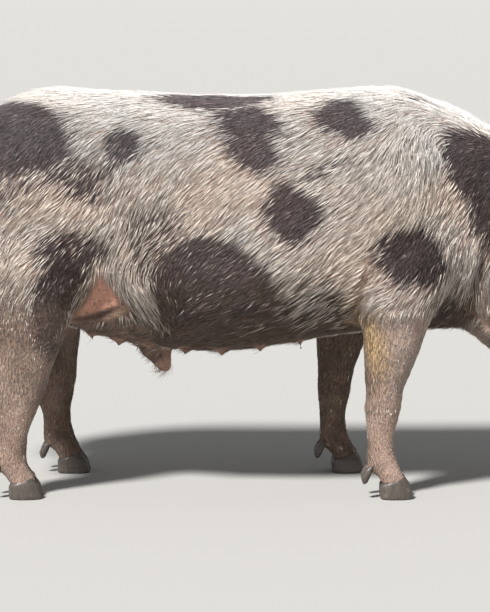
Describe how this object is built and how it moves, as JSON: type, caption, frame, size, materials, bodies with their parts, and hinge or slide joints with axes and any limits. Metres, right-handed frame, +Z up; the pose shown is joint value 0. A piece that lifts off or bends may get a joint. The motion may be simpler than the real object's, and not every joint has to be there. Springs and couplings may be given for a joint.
{
  "type": "domestic pig",
  "caption": "Standing farm pig at life size, a still figure with lop ears, lowered head, curled tail and a bristly spotted coat.",
  "frame": {"origin": "on the floor, below the middle of the bounding box", "axes": "+X towards the snout, +Y to the pig's left, +Z up"},
  "size_m": [1.3826, 0.4012, 0.7204],
  "materials": {
    "skin": "bare or thinly haired pig skin, matt, pink to grey",
    "coat": "stiff straight bristles, white with dark grey-brown spots",
    "ear": "thin, dark, finely haired skin",
    "snout": "bare moist skin",
    "horn": "horn, scuffed and streaked",
    "eye": "wet, glossy"
  },
  "bodies": {
    "root": {"trunk": "skin", "neck": "skin", "head": "skin", "lower_jaw": "skin", "snout_disc": "snout", "tail": "skin", "ear_left": "ear", "ear_right": "ear", "eye_left": "eye", "eye_right": "eye", "front_leg_left": "skin", "front_foot_left": "skin", "hoof_front_left_outer": "horn", "dewclaw_front_left_outer": "horn", "hoof_front_left_inner": "horn", "dewclaw_front_left_inner": "horn", "front_leg_right": "skin", "front_foot_right": "skin", "hoof_front_right_outer": "horn", "dewclaw_front_right_outer": "horn", "hoof_front_right_inner": "horn", "dewclaw_front_right_inner": "horn", "hind_leg_left": "skin", "hind_foot_left": "skin", "hoof_hind_left_outer": "horn", "dewclaw_hind_left_outer": "horn", "hoof_hind_left_inner": "horn", "dewclaw_hind_left_inner": "horn", "hind_leg_right": "skin", "hind_foot_right": "skin", "hoof_hind_right_outer": "horn", "dewclaw_hind_right_outer": "horn", "hoof_hind_right_inner": "horn", "dewclaw_hind_right_inner": "horn"}
  },
  "joints": []
}
